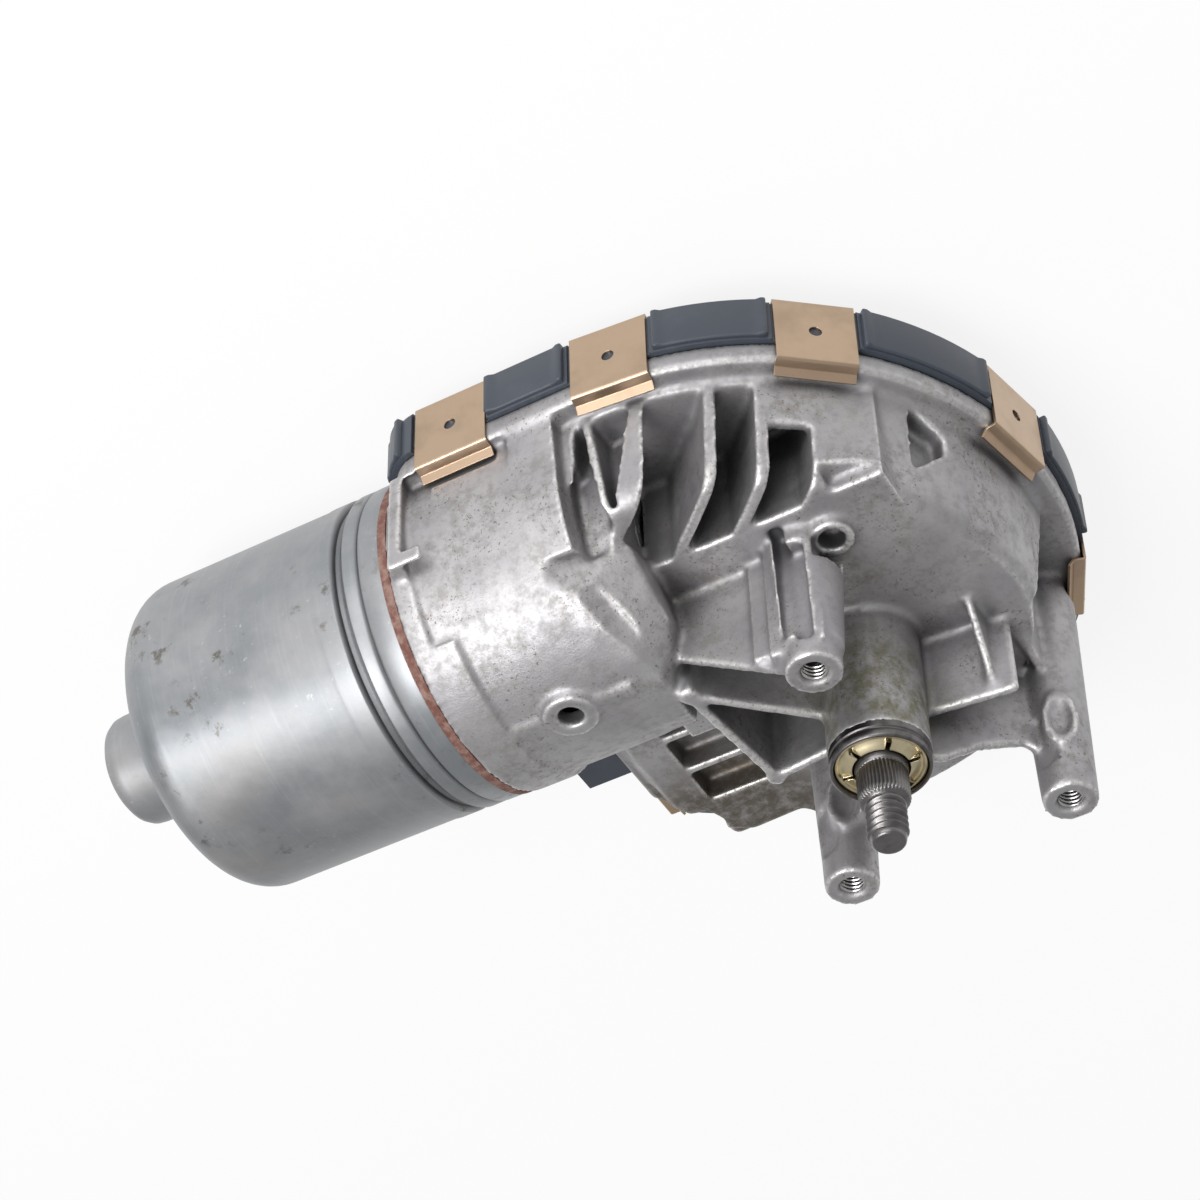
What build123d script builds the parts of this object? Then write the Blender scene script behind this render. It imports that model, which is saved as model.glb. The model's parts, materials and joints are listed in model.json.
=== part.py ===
"""Windscreen wiper motor: a permanent-magnet motor that drives an output shaft through a worm gear.

The origin is on the output shaft's axis, where its end thread begins. +Z points out of the shaft's
threaded end, and the motor's own axis runs parallel to X, with the motor can towards -X.
All sizes are in millimetres.
"""

from build123d import *
import os
from math import atan, cos, degrees, pi, radians, sin, sqrt, tan

os.makedirs("parts", exist_ok=True)

# ---------------------------------------------------------------- gears
tooth_module = 1.0
wheel_teeth = 58
worm_pitch_radius = 4.0
tooth_backlash = 0.3
worm_addendum = 0.85
worm_dedendum = 1.15
wheel_face_width = 10.0
wheel_pitch_radius = tooth_module * wheel_teeth / 2
worm_lead = pi * tooth_module
worm_length = 24.0

# ---------------------------------------------------------------- motor axis
motor_y = wheel_pitch_radius + worm_pitch_radius
motor_z = -54.7
motor_axis = Axis((0, motor_y, motor_z), (1, 0, 0))
motor_side = Plane(origin=(0, motor_y, motor_z), x_dir=(1, 0, 0), z_dir=(0, -1, 0))

# ---------------------------------------------------------------- output shaft
thread_length = 16.0
thread_radius = 4.0
knurl_length = 7.4
knurl_tip_radius = 5.1
knurl_base_radius = 5.6
shaft_radius = 6.0
shaft_bottom = -66.0
running_gap = 0.05

# ---------------------------------------------------------------- housing
flange_thickness = 5.0
flange_top = -66.0
flange_bottom = flange_top - flange_thickness
disc_x = -28.5
disc_y = -2.0
disc_radius = 74.2
case_left = -78.0
case_corner = 9.0
roof_top = -40.5
roof_wall = 4.0
dome_roof_radius = disc_radius - 9.2
dome_wall_start = disc_radius - 5.2
dome_left = -47.0
dome_front = -8.0
roof_edge_y = motor_y + 10.5
fin_thickness = 2.5
fin_rims = (-18.6, -3.8, 5.8)
fin_wall_rim = 14.2
pocket_floor = flange_top + 1.5
pocket_sill = flange_top + 11.5
pot_radius = 37.5
pot_roof_radius = 35.5
boss_radius = 10.9
boss_top = -9.5
throat_radius = 36.0
throat_collar_radius = throat_radius + 1.2
throat_collar_length = 10.0
throat_end = -45.0
throat_nose = -31.0
throat_wall = 3.0
worm_tube_radius = 9.5
web_thickness = 2.2
worm_tube_end = 24.6
case_wall = 3.0

# ---------------------------------------------------------------- mounting posts
post_top = -6.0
post_radius = 6.0
post_foot_radius = 7.6
post_bore_radius = 2.75
post_bore_depths = (18.0, 16.5, 15.0)
post_countersink = 3.4
post_a = (-23.1, -33.4)
post_b = (28.8, -31.8)
post_c = (0.4, 31.0)

# ---------------------------------------------------------------- connector
socket_low_y = -40.0
socket_high_y = -10.0
socket_reach = 12.5
socket_top = flange_bottom + 1.5
socket_wall = 2.0
pin_count = 6

# ---------------------------------------------------------------- cover and clips
cover_depth = 12.5
cover_wall = 2.2
cover_bulge = 11.5
cover_bulge_inset = 12.0
cover_proud = 1.1
clip_width = 17.5
clip_slot_gap = 0.6
clip_steel = 0.6
clip_room = 4.3
clip_hole_radius = 1.4
clip_angles = [85.0, 51.0, 11.5, -25.0, -61.0, -97.0]
clip_straight_x = -60.5
clip_left_y = -51.0
cover_bottom = flange_bottom - cover_depth

# ---------------------------------------------------------------- motor can
can_radius = throat_radius + 0.65
can_wall = 2.0
gasket_thickness = 2.0
can_mouth = case_left - gasket_thickness
can_rear = -149.5
can_shoulder = 8.5
rear_boss_radius = 13.0
rear_boss_end = can_rear - 19.9
rear_boss_round = 3.0

# ---------------------------------------------------------------- rotor
magnet_inner = can_radius - 9.65
magnet_start = can_rear + 12.0
magnet_end = can_mouth - 10.0
core_radius = magnet_inner - 0.8
core_start = magnet_start + 3.0
core_end = magnet_end - 3.0
core_slots = 12
armature_radius = 5.0
rear_journal_radius = 4.0
bearing_outer = 13.0
bearing_width = 8.0
bearing_start = -39.0
tip_bush_start = 16.0
tip_bush_length = 6.0
tip_journal_radius = 2.6
tip_bush_radius = 4.6
worm_root_radius = worm_pitch_radius - worm_dedendum
commutator_radius = 11.5
brush_x = -68.0
bearing_seat = 9.0
hub_radius = 15.0
bush_radius = 8.0
hand = 1


def keep(name, piece):
    """Label a finished piece and write it as its own STEP file."""
    piece.part.label = name
    export_step(piece.part, "parts/" + name + ".step")


def x_cylinder(radius, start, end, mode=Mode.ADD):
    """A cylinder on the motor's axis, from start to end along X."""
    place = Location(((start + end) / 2, motor_y, motor_z), (0, 90, 0))
    with Locations(place):
        return Cylinder(radius, end - start, mode=mode)


def x_ring(inner, outer, start, end):
    """A plain ring on the motor's axis."""
    x_cylinder(outer, start, end)
    x_cylinder(inner, start - 1, end + 1, mode=Mode.SUBTRACT)


def z_cylinder(radius, bottom, top, at=(0, 0), mode=Mode.ADD):
    """An upright cylinder between two heights."""
    with Locations((at[0], at[1], (bottom + top) / 2)):
        return Cylinder(radius, top - bottom, mode=mode)


def z_cone(bottom_radius, top_radius, bottom, top, at=(0, 0), mode=Mode.ADD):
    """An upright cone frustum between two heights."""
    with Locations((at[0], at[1], (bottom + top) / 2)):
        return Cone(bottom_radius, top_radius, top - bottom, mode=mode)


def block(low, high, mode=Mode.ADD):
    """A box between two opposite corners."""
    centre = [(a + b) / 2 for a, b in zip(low, high)]
    with Locations(tuple(centre)):
        return Box(high[0] - low[0], high[1] - low[1], high[2] - low[2], mode=mode)


def case_outline(grow):
    """The outline that flange, seal and cover share: a disc with one straight side, cut off at the can."""
    straight_y = disc_y + disc_radius
    with BuildSketch(mode=Mode.PRIVATE) as shape:
        with Locations((disc_x, disc_y)):
            Circle(disc_radius)
        with Locations(((case_left + disc_x) / 2, (disc_y + straight_y) / 2)):
            Rectangle(disc_x - case_left, straight_y - disc_y)
        with Locations((case_left - disc_radius, 0)):
            Rectangle(2 * disc_radius, 4 * disc_radius, mode=Mode.SUBTRACT)
        fillet(shape.vertices().sort_by(Axis.X)[:2], case_corner)
        if grow:
            offset(amount=grow)
    return shape.sketch


def case_slab(grow, bottom, top, mode=Mode.ADD):
    """A slab of the shared outline between two heights."""
    with BuildSketch(Plane.XY.offset(bottom)) as shape:
        add(case_outline(grow))
    return extrude(shape.sketch, amount=top - bottom, mode=mode)


def clip_places():
    """Where each clip's outer face crosses the outline: point and outward direction in degrees."""
    places = [(clip_straight_x, disc_y + disc_radius, 90.0)]
    for angle in clip_angles:
        turn = radians(angle)
        places.append((disc_x + disc_radius * cos(turn), disc_y + disc_radius * sin(turn), angle))
    places.append((case_left, clip_left_y, 180.0))
    return places


def outward_plane(place):
    """An upright plane through a clip's place: local x points outward and local y points up."""
    x, y, angle = place
    outward = Vector(cos(radians(angle)), sin(radians(angle)), 0)
    return Plane(origin=(x, y, 0), x_dir=outward, z_dir=outward.cross(Vector(0, 0, 1)))


def plate(points, thickness, plane, mode=Mode.ADD):
    """A flat plate of the given outline, centred on its plane."""
    with BuildSketch(plane) as shape:
        with BuildLine():
            Polyline(*points, close=True)
        make_face()
    return extrude(shape.sketch, amount=thickness / 2, both=True, mode=mode)


def upright_web(start, end, profile, thickness):
    """A web standing between two points on the ground plan. Profile points are (run, height)."""
    run = Vector(end[0] - start[0], end[1] - start[1], 0)
    side = Plane(origin=(start[0], start[1], 0), x_dir=run, z_dir=run.cross(Vector(0, 0, 1)))
    plate(profile, thickness, side)


def fin_line(rim_x):
    """Ground plan of a fin's face: in from the dome's rim, then swept towards the throat."""
    rim_y = disc_y + sqrt(dome_wall_start**2 - (rim_x - disc_x) ** 2)
    bend_y = rim_y - 3.5
    inner_y = roof_edge_y - 0.5
    inner_x = rim_x - 2.5 - (bend_y - inner_y)
    return Spline(
        (rim_x + 0.5, disc_y + disc_radius + 9),
        (rim_x, rim_y),
        (rim_x - 2.5, bend_y),
        (inner_x, inner_y),
    )


def pocket_plan(left_rim, right_rim):
    """Closed ground plan of the pocket between two fin faces, as a sketch."""
    with BuildSketch(mode=Mode.PRIVATE) as shape:
        with BuildLine():
            left = fin_line(left_rim)
            right = fin_line(right_rim)
            Line(left @ 0, right @ 0)
            Line(left @ 1, right @ 1)
        make_face()
    return shape.sketch


def outward_frame(angle):
    """A plane on the disc's axis that looks outward: local x runs along the rim and local y points up."""
    outward = Vector(cos(radians(angle)), sin(radians(angle)), 0)
    return Plane(origin=(disc_x, disc_y, 0), x_dir=Vector(0, 0, 1).cross(outward), z_dir=outward)


# ================================================================ gear housing
web_base = roof_top - 2.0
crest_z = motor_z + throat_radius
throat_corner = (throat_nose, motor_y - 8.0)
side_boss = (6.4, 29.3)
crest = (-54.0, motor_y + 1.0)
nose_radius = throat_radius - 9.0
lid_gap = 0.3

with BuildPart() as gear_housing:
    case_slab(0, flange_bottom, flange_top)
    chamfer(gear_housing.faces().sort_by(Axis.Z)[-1].edges(), 0.8)
    z_cone(dome_wall_start, dome_roof_radius, flange_top, roof_top, (disc_x, disc_y))
    roof_rim = gear_housing.edges().filter_by(GeomType.CIRCLE).group_by(Axis.Z)[-1]
    fillet(roof_rim, 5.0)
    block((-120, -120, flange_top), (dome_left, 120, 0), mode=Mode.SUBTRACT)
    block((-120, -120, flange_top), (120, dome_front, 0), mode=Mode.SUBTRACT)
    z_cone(pot_radius, pot_roof_radius, flange_top, roof_top)

    # shoulder beside the throat: it slopes down to the rim and has two ribs across it
    with BuildSketch(Plane.XY.offset(flange_top - 3)) as shoulder:
        add(case_outline(0))
        with Locations((case_left + 131, 0)):
            Rectangle(150, 400, mode=Mode.SUBTRACT)
        with Locations((0, dome_front + 97)):
            Rectangle(400, 200, mode=Mode.SUBTRACT)
    extrude(shoulder.sketch, amount=9.5, taper=35)
    for low_y, high_y in ((-24, -11), (-36, -26), (-48, -38)):
        block((case_left + 15, low_y, flange_top), (case_left + 52, high_y, 0), mode=Mode.SUBTRACT)
    lug_y = disc_y - disc_radius + 0.2
    block((-67, lug_y, flange_bottom), (-48, lug_y + 16, flange_top + 1))

    # board space under the flange
    case_slab(-case_wall - 2, flange_bottom - 1, flange_top - 1.5, mode=Mode.SUBTRACT)

    # throat that takes the motor's brush end
    x_cylinder(throat_radius, case_left, throat_end)
    x_cylinder(throat_collar_radius, case_left, case_left + throat_collar_length)
    with BuildSketch(motor_side) as nose:
        with BuildLine():
            Polyline(
                (throat_end - 1, 0),
                (throat_end - 1, throat_radius),
                (throat_end, throat_radius),
                (throat_nose, nose_radius),
                (throat_nose, 0),
                close=True,
            )
        make_face()
    revolve(nose.sketch, axis=motor_axis)
    block((case_left, motor_y, flange_top), (dome_left + 2, motor_y + throat_radius, motor_z))
    block((case_left, motor_y - throat_radius + 8, flange_top), (dome_left + 2, motor_y, motor_z))

    # buttress along the worm's tube, stepped at its foot
    block((throat_nose, motor_y, flange_top), (worm_tube_end, roof_edge_y, roof_top))
    with BuildSketch(Plane.XY.offset(flange_top)) as buttress:
        with BuildLine():
            Polyline(
                (6, motor_y),
                (11, 50.5),
                (worm_tube_end - 0.3, roof_edge_y),
                (worm_tube_end, motor_y),
                close=True,
            )
        make_face()
    extrude(buttress.sketch, amount=roof_top - 3.5 - flange_top)
    block((13, roof_edge_y, roof_top - 3.5), (60, 100, 0), mode=Mode.SUBTRACT)

    # cooling pockets between curved fins, on the worm's side
    half_fin = fin_thickness / 2
    first_rim, second_rim, third_rim = fin_rims
    for left_rim, right_rim in ((first_rim, second_rim), (second_rim, third_rim)):
        with BuildSketch(Plane.XY.offset(pocket_floor)) as pocket:
            add(pocket_plan(left_rim + half_fin, right_rim - half_fin))
        extrude(pocket.sketch, amount=60.0, mode=Mode.SUBTRACT)
    with BuildSketch(Plane.XY.offset(pocket_floor)) as last_pocket:
        add(pocket_plan(third_rim + half_fin, fin_wall_rim))
        with Locations((disc_x, disc_y)):
            Circle(dome_wall_start - 4.5, mode=Mode.INTERSECT)
    extrude(last_pocket.sketch, amount=30.0, mode=Mode.SUBTRACT)
    with BuildSketch(Plane.XY.offset(pocket_sill)) as last_mouth:
        add(pocket_plan(third_rim + half_fin, fin_wall_rim))
    extrude(last_mouth.sketch, amount=60.0, mode=Mode.SUBTRACT)

    # two narrow recesses that part at the rim and leave a thin leaning web
    side_face = Plane(origin=(0, dome_wall_start + 20, 0), x_dir=(1, 0, 0), z_dir=(0, -1, 0))
    with BuildSketch(side_face) as leaning:
        with BuildLine():
            Polyline(
                (-29.8, pocket_floor),
                (-21.0, pocket_floor),
                (-27.0, roof_top - 1),
                (-28.2, roof_top - 1),
                close=True,
            )
        make_face()
        with BuildLine():
            Polyline(
                (-34.0, pocket_floor),
                (-32.0, pocket_floor),
                (-30.2, roof_top + 1),
                (-36.5, roof_top + 1),
                close=True,
            )
        make_face()
    extrude(leaning.sketch, amount=31.0, mode=Mode.SUBTRACT)
    with BuildSketch(Plane.XY.offset(roof_top - 14)) as valley:
        with BuildLine():
            Polyline(
                (-36.5, 64),
                (-30.5, 64),
                (-29.5, 58.5),
                (-41, roof_edge_y),
                (-47, roof_edge_y),
                (-37, 58),
                close=True,
            )
        make_face()
    extrude(valley.sketch, amount=40.0, mode=Mode.SUBTRACT)

    # recess with three corners in the dome's wall, beyond the tube's end
    with BuildSketch(outward_frame(29).offset(dome_wall_start - 5.5)) as corner_recess:
        with BuildLine():
            Polyline((4.8, -63), (3.9, -65), (-4.0, -61), (-4.5, -56.7), (3.5, -49.3), close=True)
        make_face()
    extrude(corner_recess.sketch, amount=20.0, mode=Mode.SUBTRACT)
    x_cylinder(nose_radius, throat_end, throat_nose)
    x_cylinder(worm_tube_radius, throat_nose - 1, worm_tube_end)

    # output boss
    z_cylinder(boss_radius, roof_top - 2, boss_top)

    # mounting posts; the third has a front with two ribs and a slot between them
    for post in (post_a, post_b):
        z_cone(post_foot_radius, post_radius, flange_top - 1, post_top, post)
    z_cone(8.4, 6.6, web_base, post_top - 6, post_c)
    z_cylinder(post_radius, post_top - 7, post_top, post_c)
    front_x, front_y = post_c
    block((front_x - 7.4, front_y, web_base), (front_x + 5.0, front_y + 5.2, post_top - 4))
    block(
        (front_x - 4.0, front_y + 3.4, web_base),
        (front_x - 0.8, front_y + 9, post_top - 7),
        mode=Mode.SUBTRACT,
    )
    block(
        (front_x - 0.8, front_y + 1.6, roof_top + 4),
        (front_x + 2.8, front_y + 9, post_top - 5),
        mode=Mode.SUBTRACT,
    )
    block((front_x - 12, front_y, web_base), (front_x - 7, front_y + 2.6, post_top - 7))

    # rough oval marks that the casting's gates left on the two tall posts
    for (post_x, post_y), angle in ((post_a, 118), (post_b, 112)):
        outward = Vector(cos(radians(angle)), sin(radians(angle)), 0)
        mark_plane = Plane(
            origin=Vector(post_x, post_y, post_top - 13.5) + outward * (post_radius - 0.9),
            x_dir=(0, 0, 1),
            z_dir=outward,
        )
        with BuildSketch(mark_plane) as mark:
            SlotOverall(14.0, 7.0)
        extrude(mark.sketch, amount=4.0, mode=Mode.SUBTRACT)

    # webs from the throat to the third post and to the boss, with a third that closes a triangle
    rib_top = crest_z
    knee = (-27.0, -7.0)
    post_web_top = post_top - 3
    upright_web(
        (throat_nose - 9, post_c[1]),
        post_c,
        [
            (0, web_base),
            (38, web_base),
            (38, post_web_top),
            (34, post_web_top),
            (4, crest_z - 9),
            (0, crest_z - 9),
        ],
        web_thickness,
    )
    for start, end in ((throat_corner, (-3, -1)), (throat_corner, knee), (knee, (-3, -4))):
        run = sqrt((end[0] - start[0]) ** 2 + (end[1] - start[1]) ** 2)
        upright_web(
            start,
            end,
            [(0, web_base), (run, web_base), (run, rib_top), (0, rib_top)],
            web_thickness,
        )
        z_cylinder(web_thickness, web_base, rib_top, start)

    # web from the boss to the second post, a lower web before it with a gusset, and a ridge to the post
    upright_web(
        (2, -6),
        post_b,
        [
            (4, web_base),
            (30, web_base),
            (36, flange_top),
            (36, -17),
            (28, -20),
            (18, -17),
            (10, -12),
            (4, -11),
        ],
        web_thickness,
    )
    low_web = ((6, -6.5), (29, -9))
    low_web_top = roof_top + 20.5
    upright_web(
        *low_web,
        [(0, web_base), (23, web_base), (23, low_web_top), (0, low_web_top)],
        web_thickness,
    )
    upright_web(
        (24, -9),
        (24, 2),
        [(0, web_base), (11, web_base), (11, roof_top), (1, low_web_top), (0, low_web_top)],
        1.8,
    )
    upright_web(
        (29, -8),
        post_b,
        [(0, flange_top), (24, flange_top), (24, roof_top + 3), (0, roof_top)],
        web_thickness,
    )

    # crest boss on the throat with two ribs, side lug, and a small boss beside the third post
    z_cylinder(6.0, crest_z - 8, crest_z + 1.5, crest)
    block((crest[0] - 15, crest[1] - 1.5, crest_z - 6), (crest[0] + 15, crest[1] + 1.5, crest_z + 0.6))
    block((case_left + 1.5, motor_y + 20, flange_top - 1), (case_left + 10, motor_y + 38.6, -40))
    z_cylinder(5.0, roof_top - 2, roof_top + 2.5, side_boss)

    # inside: wheel chamber, worm bore, throat, bearing seats and bush bore
    z_cylinder(wheel_pitch_radius + 2.6, flange_bottom - 1, roof_top - roof_wall, mode=Mode.SUBTRACT)
    x_cylinder(throat_radius - throat_wall, case_left - 1, throat_end - 2, mode=Mode.SUBTRACT)
    x_cylinder(bearing_outer, throat_end - 3, bearing_start + bearing_width, mode=Mode.SUBTRACT)
    x_cylinder(worm_pitch_radius + 2.2, bearing_start, tip_bush_start, mode=Mode.SUBTRACT)
    x_cylinder(
        tip_bush_radius,
        tip_bush_start - 1,
        tip_bush_start + tip_bush_length,
        mode=Mode.SUBTRACT,
    )
    z_cylinder(bush_radius, roof_top - 10, boss_top + 1, mode=Mode.SUBTRACT)

    # room above the flange for the clips' lips
    for place in clip_places():
        notch = [
            (-clip_room, flange_top),
            (2, flange_top),
            (2, flange_top + 5),
            (-clip_room, flange_top + 3.5),
        ]
        plate(notch, clip_width + 2 * clip_slot_gap, outward_plane(place), mode=Mode.SUBTRACT)

    # threaded posts and blind holes
    for post, depth in zip((post_a, post_b, post_c), post_bore_depths):
        z_cylinder(post_bore_radius, post_top - depth, post_top + 1, post, mode=Mode.SUBTRACT)
        z_cone(0.01, post_countersink, post_top - post_countersink, post_top, post, mode=Mode.SUBTRACT)
    z_cylinder(2.75, crest_z - 12, crest_z + 3, crest, mode=Mode.SUBTRACT)
    z_cylinder(3.0, roof_top - 4, roof_top + 4, side_boss, mode=Mode.SUBTRACT)

keep("gear_housing", gear_housing)


# ================================================================ electronics cover, seal and clips
floor_bottom = cover_bottom - cover_bulge

with BuildPart() as cover_seal:
    case_slab(-0.4, flange_bottom - 1.4, flange_bottom)
    case_slab(-1.8, flange_bottom - 2, flange_bottom + 1, mode=Mode.SUBTRACT)
    x_cylinder(throat_collar_radius + lid_gap, case_left - 5, throat_end, mode=Mode.SUBTRACT)
keep("cover_seal", cover_seal)

board_top = flange_bottom - 5.0

with BuildPart() as connector_pins:
    for index in range(pin_count):
        pin_y = socket_low_y + 5 + index * (socket_high_y - socket_low_y - 10) / (pin_count - 1)
        block((case_left - 7, pin_y - 0.6, board_top), (case_left + 10, pin_y + 0.6, board_top + 0.6))
keep("connector_pins", connector_pins)

with BuildPart() as electronics_cover:
    case_slab(cover_proud, cover_bottom, flange_bottom)
    rim_edges = electronics_cover.faces().sort_by(Axis.Z)[0].edges()
    fillet(rim_edges, 1.6)
    case_slab(-cover_bulge_inset, floor_bottom, cover_bottom)
    bulge_edges = electronics_cover.faces().sort_by(Axis.Z)[0].edges()
    fillet(bulge_edges, 3.0)
    case_slab(-cover_wall, cover_bottom + cover_wall, flange_bottom + 1, mode=Mode.SUBTRACT)
    case_slab(
        -cover_bulge_inset - cover_wall,
        floor_bottom + cover_wall,
        flange_bottom,
        mode=Mode.SUBTRACT,
    )
    for place in clip_places():
        slot_low = cover_bottom - 1
        slot_top = flange_bottom + 1
        ease = cover_bottom + 0.8
        slot = [
            (-1.8, slot_low),
            (6, slot_low),
            (6, slot_top),
            (0, slot_top),
            (0, ease),
            (-0.8, cover_bottom),
        ]
        plate(slot, clip_width + 2 * clip_slot_gap, outward_plane(place), mode=Mode.SUBTRACT)
    block(
        (case_left - socket_reach, socket_low_y, cover_bottom),
        (case_left - lid_gap, socket_high_y, socket_top),
    )
    block(
        (case_left - 1, socket_low_y, cover_bottom),
        (case_left + 2, socket_high_y, flange_bottom - 1.4),
    )
    block(
        (case_left - socket_reach - 1, socket_low_y + socket_wall, cover_bottom + socket_wall),
        (case_left - 2, socket_high_y - socket_wall, socket_top - socket_wall),
        mode=Mode.SUBTRACT,
    )
    x_cylinder(throat_collar_radius + lid_gap, case_left - 20, throat_end, mode=Mode.SUBTRACT)
    add(cover_seal.part, mode=Mode.SUBTRACT)
    add(connector_pins.part, mode=Mode.SUBTRACT)
keep("electronics_cover", electronics_cover)

with BuildPart() as cover_clips:
    for place in clip_places():
        mid = clip_steel / 2
        lip = flange_top + mid
        with BuildSketch(outward_plane(place)) as section:
            with BuildLine() as bend:
                FilletPolyline(
                    (-6.5, cover_bottom - mid),
                    (mid, cover_bottom - mid),
                    (mid, lip),
                    (-2.2, lip),
                    (-3.4, lip + 1.8),
                    radius=0.5,
                )
            trace(bend.line, clip_steel)
        extrude(section.sketch, amount=clip_width / 2, both=True)
        outward = Vector(cos(radians(place[2])), sin(radians(place[2])), 0)
        hole_centre = Vector(place[0], place[1], (cover_bottom + flange_top) / 2)
        with BuildSketch(Plane(origin=hole_centre, z_dir=outward)) as hole:
            Circle(clip_hole_radius)
        extrude(hole.sketch, amount=2.0, both=True, mode=Mode.SUBTRACT)
keep("cover_clips", cover_clips)

with BuildPart() as circuit_board:
    case_slab(-cover_wall - 4, board_top - 1.6, board_top)
    block((-100, motor_y - 40, -100), (throat_nose + 2, 100, 0), mode=Mode.SUBTRACT)
    block(
        (-100, socket_low_y - 3, board_top - 3),
        (case_left + 9.5, 0, board_top + 1),
        mode=Mode.SUBTRACT,
    )
keep("circuit_board", circuit_board)

with BuildPart() as hall_sensor:
    block((-3, -3, board_top), (3, 3, board_top + 1.6))
keep("hall_sensor", hall_sensor)


# ================================================================ motor can and its fixed parts
with BuildPart() as pole_housing:
    with BuildSketch(motor_side) as skin:
        shoulder_x = can_rear + can_shoulder
        boss_corner_x = rear_boss_end + rear_boss_round
        with BuildLine():
            Polyline(
                (rear_boss_end, 0),
                (can_mouth, 0),
                (can_mouth, can_radius),
                (shoulder_x, can_radius),
            )
            CenterArc((shoulder_x, can_radius - can_shoulder), can_shoulder, 90, 90)
            Line((can_rear, can_radius - can_shoulder), (can_rear, rear_boss_radius))
            Line((can_rear, rear_boss_radius), (boss_corner_x, rear_boss_radius))
            CenterArc((boss_corner_x, rear_boss_radius - rear_boss_round), rear_boss_round, 90, 90)
            Line((rear_boss_end, rear_boss_radius - rear_boss_round), (rear_boss_end, 0))
        make_face()
        for groove_x in (can_mouth - 7.3, can_mouth - 2.6):
            with Locations((groove_x, can_radius)):
                Circle(1.1, mode=Mode.SUBTRACT)
        inner_x = can_rear + can_wall
        inner_boss_x = rear_boss_end + 3.0
        with BuildLine():
            Polyline((inner_boss_x, 0), (can_mouth + 1, 0), (can_mouth + 1, can_radius - can_wall))
            Line((can_mouth + 1, can_radius - can_wall), (shoulder_x, can_radius - can_wall))
            CenterArc((shoulder_x, can_radius - can_shoulder), can_shoulder - can_wall, 90, 90)
            Line((inner_x, can_radius - can_shoulder), (inner_x, bearing_seat))
            Polyline((inner_x, bearing_seat), (inner_boss_x, bearing_seat), (inner_boss_x, 0))
        make_face(mode=Mode.SUBTRACT)
    revolve(skin.sketch, axis=motor_axis)
keep("pole_housing", pole_housing)

with BuildPart() as flange_gasket:
    x_ring(throat_radius - throat_wall, can_radius + 0.3, can_mouth, case_left)
keep("flange_gasket", flange_gasket)

with BuildPart() as field_magnets:
    x_ring(magnet_inner, can_radius - can_wall, magnet_start, magnet_end)
    block(
        (magnet_start - 1, motor_y - 12, motor_z - 50),
        (magnet_end + 1, motor_y + 12, motor_z + 50),
        mode=Mode.SUBTRACT,
    )
keep("field_magnets", field_magnets)

with BuildPart() as rear_bearing:
    x_ring(rear_journal_radius + running_gap, bearing_seat, rear_boss_end + 4.5, can_rear)
keep("rear_bearing", rear_bearing)

with BuildPart() as bearing_retainer:
    x_ring(7.0, 19.0, can_rear + can_wall, can_rear + can_wall + 0.8)
keep("bearing_retainer", bearing_retainer)

with BuildPart() as front_bearing:
    x_ring(armature_radius, bearing_outer, bearing_start, bearing_start + bearing_width)
    x_cylinder(armature_radius + running_gap, bearing_start - 1, bearing_start + 20, mode=Mode.SUBTRACT)
    for face_x in (bearing_start, bearing_start + bearing_width):
        with BuildSketch(motor_side) as shield:
            with Locations((face_x, (armature_radius + bearing_outer) / 2)):
                Rectangle(1.0, 3.6)
        revolve(shield.sketch, axis=motor_axis, mode=Mode.SUBTRACT)
keep("front_bearing", front_bearing)

with BuildPart() as tip_bearing:
    x_ring(
        tip_journal_radius + running_gap,
        tip_bush_radius,
        tip_bush_start,
        tip_bush_start + tip_bush_length,
    )
keep("tip_bearing", tip_bearing)

with BuildPart() as brush_plate:
    x_ring(commutator_radius + 3, throat_radius - throat_wall, brush_x - 5.5, brush_x - 3.5)
    for side in (-1, 1):
        low = motor_y + side * 20 - 6
        block((brush_x - 4.5, low, motor_z - 5), (brush_x + 4.5, low + 12, motor_z + 5))
        block(
            (brush_x - 3.5, motor_y + side * 20 - 7, motor_z - 3.6),
            (brush_x + 3.5, motor_y + side * 20 + 7, motor_z + 3.6),
            mode=Mode.SUBTRACT,
        )
keep("brush_plate", brush_plate)

with BuildPart() as carbon_brushes:
    for side in (-1, 1):
        near = motor_y + side * (commutator_radius + 0.3)
        far = motor_y + side * 23
        block(
            (brush_x - 3.4, min(near, far), motor_z - 3.5),
            (brush_x + 3.4, max(near, far), motor_z + 3.5),
        )
keep("carbon_brushes", carbon_brushes)

with BuildPart() as brush_springs:
    for side in (-1, 1):
        back = motor_y + side * 23
        strip = [(0, 0), (side * 0.5, 0), (side * 2.6, 6), (side * 2.1, 6), (side * 0.5, 1.2), (0, 1.2)]
        with BuildSketch(
            Plane(origin=(brush_x, back, motor_z - 3), x_dir=(0, 1, 0), z_dir=(1, 0, 0))
        ) as leaf:
            with BuildLine():
                Polyline(*strip, close=True)
            make_face()
        extrude(leaf.sketch, amount=2.5, both=True)
keep("brush_springs", brush_springs)

with BuildPart() as choke_coils:
    for side in (-1, 1):
        with Locations(Location((brush_x + 1.5, motor_y, motor_z + side * 22), (0, 90, 0))):
            Cylinder(3.2, 10)
keep("choke_coils", choke_coils)


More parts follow.
